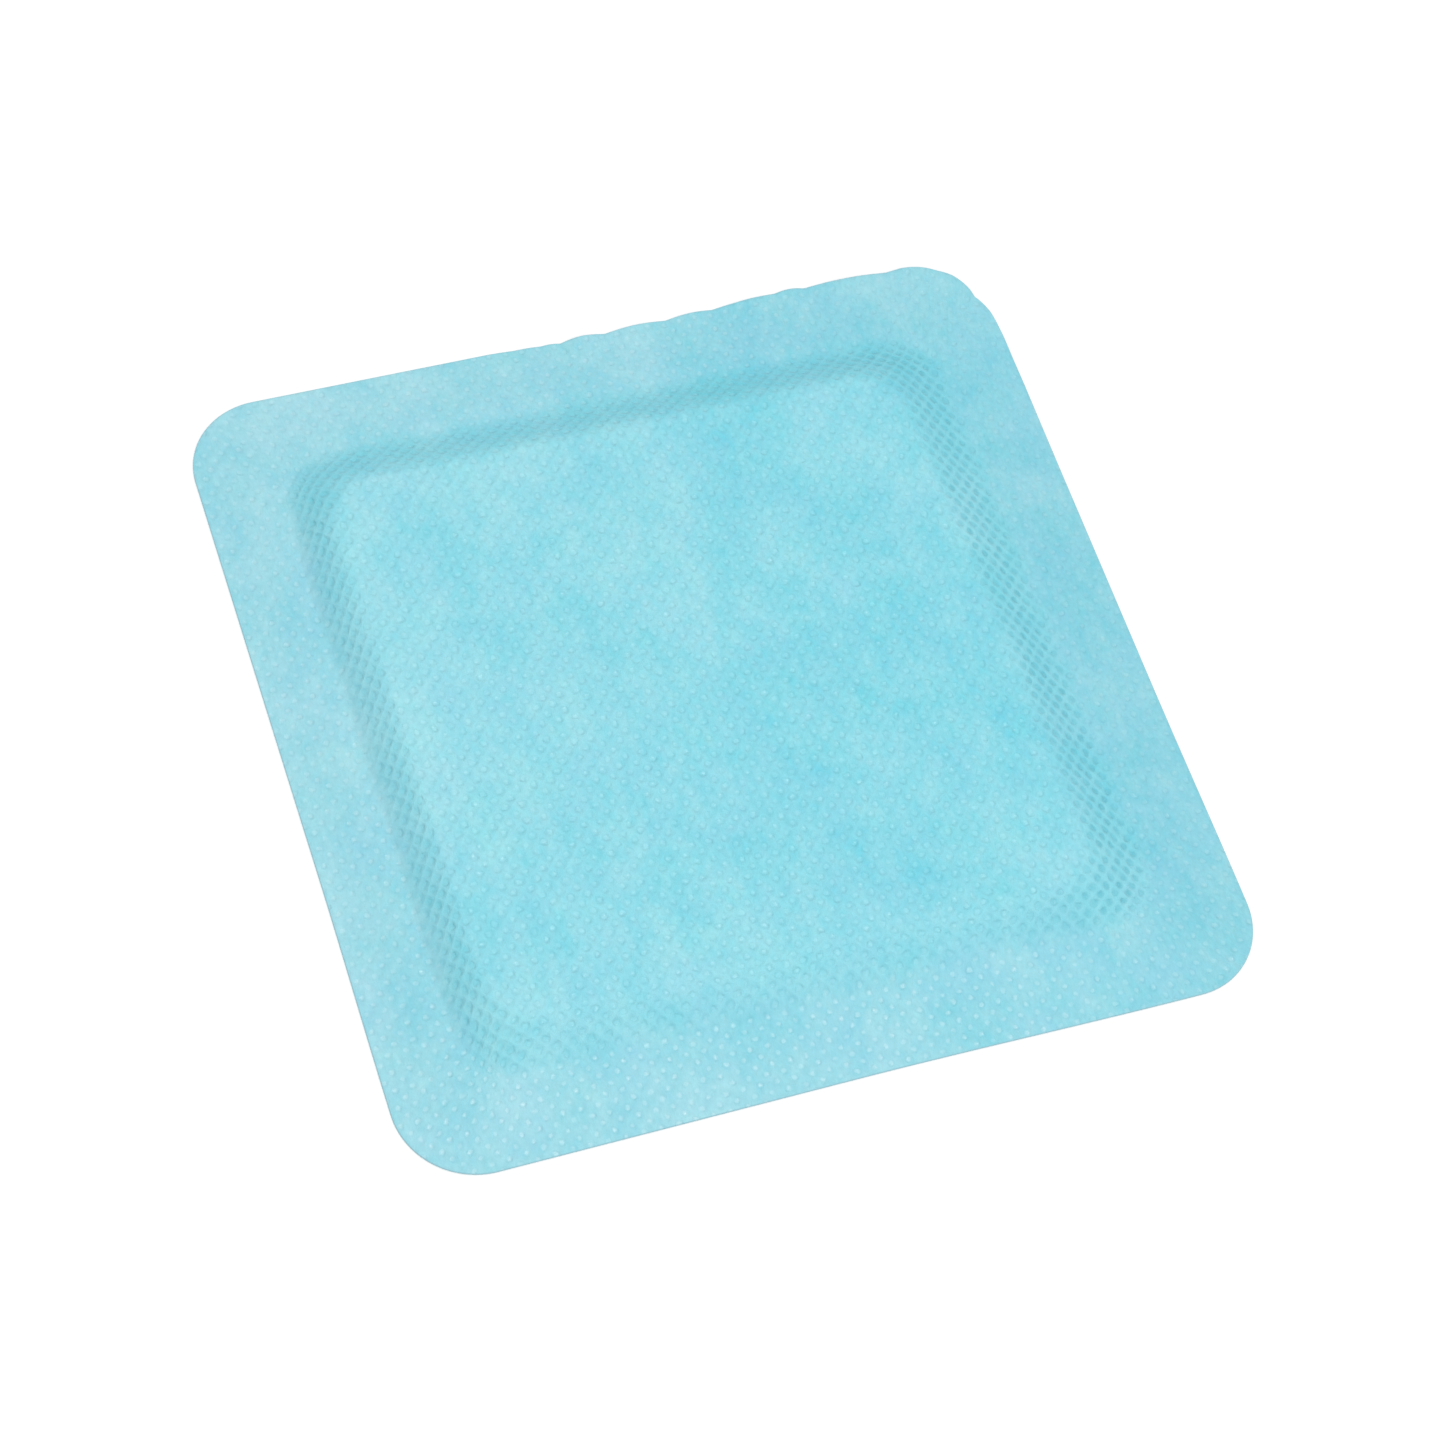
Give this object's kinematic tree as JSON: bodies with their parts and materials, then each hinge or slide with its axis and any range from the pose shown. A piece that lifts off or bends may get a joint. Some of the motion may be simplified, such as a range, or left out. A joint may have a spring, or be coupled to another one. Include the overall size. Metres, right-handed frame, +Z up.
{
  "type": "super absorbent dressing",
  "caption": "Square soft wound pad with rounded corners: an absorbent core raised in the middle, closed all round by a thin welded border, for soaking up wound fluid.",
  "frame": {"origin": "middle of the dressing's outline, on the plane that its underside lies on", "axes": "+Z up out of the raised face, +X to the right-hand side, +Y to the far side; the dressing lies flat on its underside"},
  "size_m": [0.1004, 0.101, 0.0051],
  "materials": {
    "blue_nonwoven": "matt light sea blue spunbond polypropylene nonwoven with a fine lattice of bond points"
  },
  "bodies": {
    "root": {"dressing": "blue_nonwoven"}
  },
  "joints": []
}
